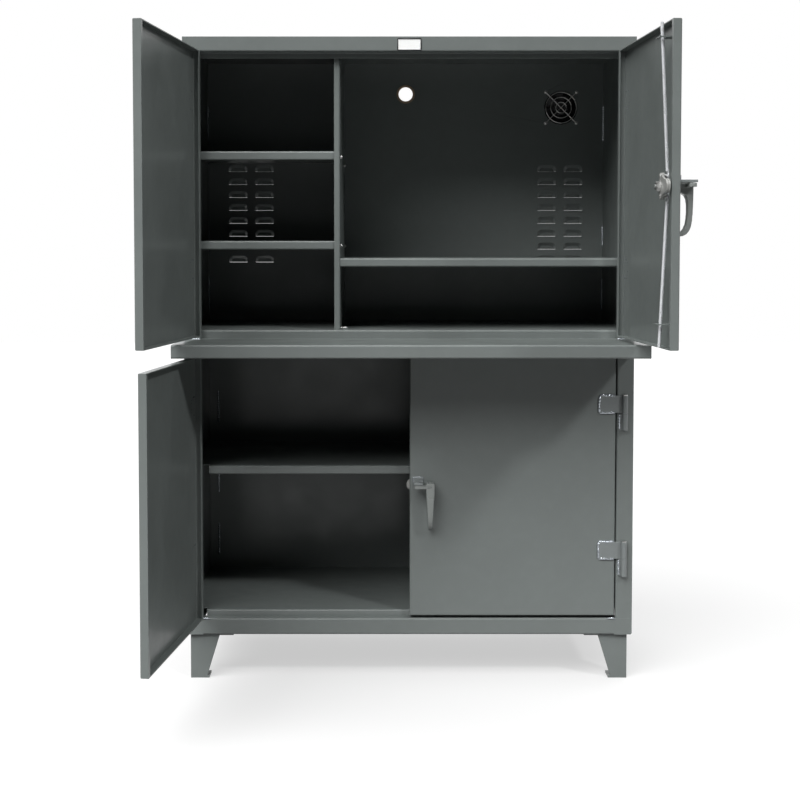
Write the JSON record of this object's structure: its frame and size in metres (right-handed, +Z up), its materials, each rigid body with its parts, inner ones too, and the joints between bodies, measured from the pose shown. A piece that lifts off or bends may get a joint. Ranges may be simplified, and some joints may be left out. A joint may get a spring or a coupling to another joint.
{
  "type": "industrial computer cabinet",
  "caption": "Welded grey steel computer cabinet: lower cupboard, projecting work surface and tall upper cupboard with hinged doors, shelves, latches, louvred back and fan.",
  "frame": {"origin": "on the floor at the middle of the four feet", "axes": "+Z up, the front with its doors faces -Y, +X to the right seen from the front"},
  "size_m": [1.2976, 1.2178, 1.746],
  "materials": {
    "cabinet_enamel": "satin",
    "door_enamel": "satin",
    "hinge_enamel": "satin",
    "bare_steel": "satin",
    "handle_casting": "satin",
    "latch_steel": "satin",
    "fan_plastic": "matte",
    "foam": "matte",
    "rubber": "matte",
    "plate": "satin"
  },
  "bodies": {
    "cabinet": {"lower_side_left": "cabinet_enamel", "lower_side_right": "cabinet_enamel", "upper_side_left": "cabinet_enamel", "upper_side_right": "cabinet_enamel", "lower_stile_left": "cabinet_enamel", "lower_stile_right": "cabinet_enamel", "upper_stile_left": "cabinet_enamel", "upper_stile_right": "cabinet_enamel", "bottom_rail": "cabinet_enamel", "header": "cabinet_enamel", "top_panel": "cabinet_enamel", "work_surface": "cabinet_enamel", "lower_back": "cabinet_enamel", "upper_back": "cabinet_enamel", "lower_floor": "cabinet_enamel", "upper_floor": "cabinet_enamel", "divider": "cabinet_enamel", "storage_shelf_high": "cabinet_enamel", "storage_shelf_low": "cabinet_enamel", "monitor_shelf": "cabinet_enamel", "lower_shelf": "cabinet_enamel", "shelf_brackets": "cabinet_enamel", "shelf_bolts": "bare_steel", "leg_front_left": "cabinet_enamel", "leg_front_right": "cabinet_enamel", "leg_rear_left": "cabinet_enamel", "leg_rear_right": "cabinet_enamel", "hinge_frame_leaves": "hinge_enamel", "hinge_pins": "bare_steel", "lower_header": "cabinet_enamel", "fan_housing": "fan_plastic", "fan_guard": "bare_steel", "fan_screws": "bare_steel", "fan_filter": "foam", "fan_filter_frame": "fan_plastic", "cable_grommet": "rubber", "name_plate": "plate"},
    "fan": {"fan_rotor": "fan_plastic"},
    "door_upper_left": {"upper_door_left": "door_enamel", "upper_hinge_straps_left": "hinge_enamel"},
    "door_upper_right": {"upper_door_right": "door_enamel", "upper_hinge_straps_right": "hinge_enamel", "upper_hasp": "cabinet_enamel", "upper_rod_guides": "cabinet_enamel"},
    "door_lower_left": {"lower_door_left": "door_enamel", "lower_hinge_straps_left": "hinge_enamel"},
    "door_lower_right": {"lower_door_right": "door_enamel", "lower_hinge_straps_right": "hinge_enamel", "lower_hasp": "cabinet_enamel", "lower_rod_guides": "cabinet_enamel"},
    "latch_upper": {"upper_handle": "handle_casting", "upper_cam": "latch_steel", "upper_latch_pins": "latch_steel"},
    "latch_lower": {"lower_handle": "handle_casting", "lower_cam": "latch_steel", "lower_latch_pins": "latch_steel"},
    "rod_upper_top": {"upper_rod_top": "latch_steel"},
    "rod_upper_bottom": {"upper_rod_bottom": "latch_steel"},
    "rod_lower_top": {"lower_rod_top": "latch_steel"},
    "rod_lower_bottom": {"lower_rod_bottom": "latch_steel"}
  },
  "joints": [
    {"name": "upper_left_door", "type": "hinge", "parent": "cabinet", "child": "door_upper_left", "pos_m": [-0.585, -0.2955, 1.32275], "axis": [0, 0, -1], "range_deg": [-96.9, 83.1]},
    {"name": "upper_right_door", "type": "hinge", "parent": "cabinet", "child": "door_upper_right", "pos_m": [0.585, -0.2955, 1.32275], "axis": [0, 0, 1], "range_deg": [-93.5, 86.5]},
    {"name": "lower_left_door", "type": "hinge", "parent": "cabinet", "child": "door_lower_left", "pos_m": [-0.585, -0.2955, 0.5328], "axis": [0, 0, -1], "range_deg": [-96.3, 83.7]},
    {"name": "lower_right_door", "type": "hinge", "parent": "cabinet", "child": "door_lower_right", "pos_m": [0.585, -0.2955, 0.5328], "axis": [0, 0, 1], "range_deg": [0, 180]},
    {"name": "upper_latch", "type": "hinge", "parent": "door_upper_right", "child": "latch_upper", "pos_m": [0.59028, -0.82416, 1.32275], "axis": [0.9981, 0.061, 0], "range_deg": [0, 90]},
    {"name": "upper_rod_top_pivot", "type": "hinge", "parent": "latch_upper", "child": "rod_upper_top", "pos_m": [0.59028, -0.82416, 1.34575], "axis": [0.9981, 0.061, 0], "range_deg": [-96, 2]},
    {"name": "upper_rod_bottom_pivot", "type": "hinge", "parent": "latch_upper", "child": "rod_upper_bottom", "pos_m": [0.59028, -0.82416, 1.29975], "axis": [0.9981, 0.061, 0], "range_deg": [-96, 2]},
    {"name": "lower_latch", "type": "hinge", "parent": "door_lower_right", "child": "latch_lower", "pos_m": [0.057, -0.2685, 0.5328], "axis": [0, -1, 0], "range_deg": [0, 90]},
    {"name": "lower_rod_top_pivot", "type": "hinge", "parent": "latch_lower", "child": "rod_lower_top", "pos_m": [0.057, -0.2685, 0.5558], "axis": [0, -1, 0], "range_deg": [-96, 2]},
    {"name": "lower_rod_bottom_pivot", "type": "hinge", "parent": "latch_lower", "child": "rod_lower_bottom", "pos_m": [0.057, -0.2685, 0.5098], "axis": [0, -1, 0], "range_deg": [-96, 2]},
    {"name": "fan_spin", "type": "hinge", "parent": "cabinet", "child": "fan", "pos_m": [0.477, 0.3, 1.61], "axis": [0, 1, 0], "continuous": true}
  ],
  "couplings": [
    {"joint": "upper_rod_top_pivot", "follows": "upper_latch", "ratio": -1.0427},
    {"joint": "upper_rod_bottom_pivot", "follows": "upper_latch", "ratio": -1.0456},
    {"joint": "lower_rod_top_pivot", "follows": "lower_latch", "ratio": -1.0458},
    {"joint": "lower_rod_bottom_pivot", "follows": "lower_latch", "ratio": -1.0492}
  ]
}
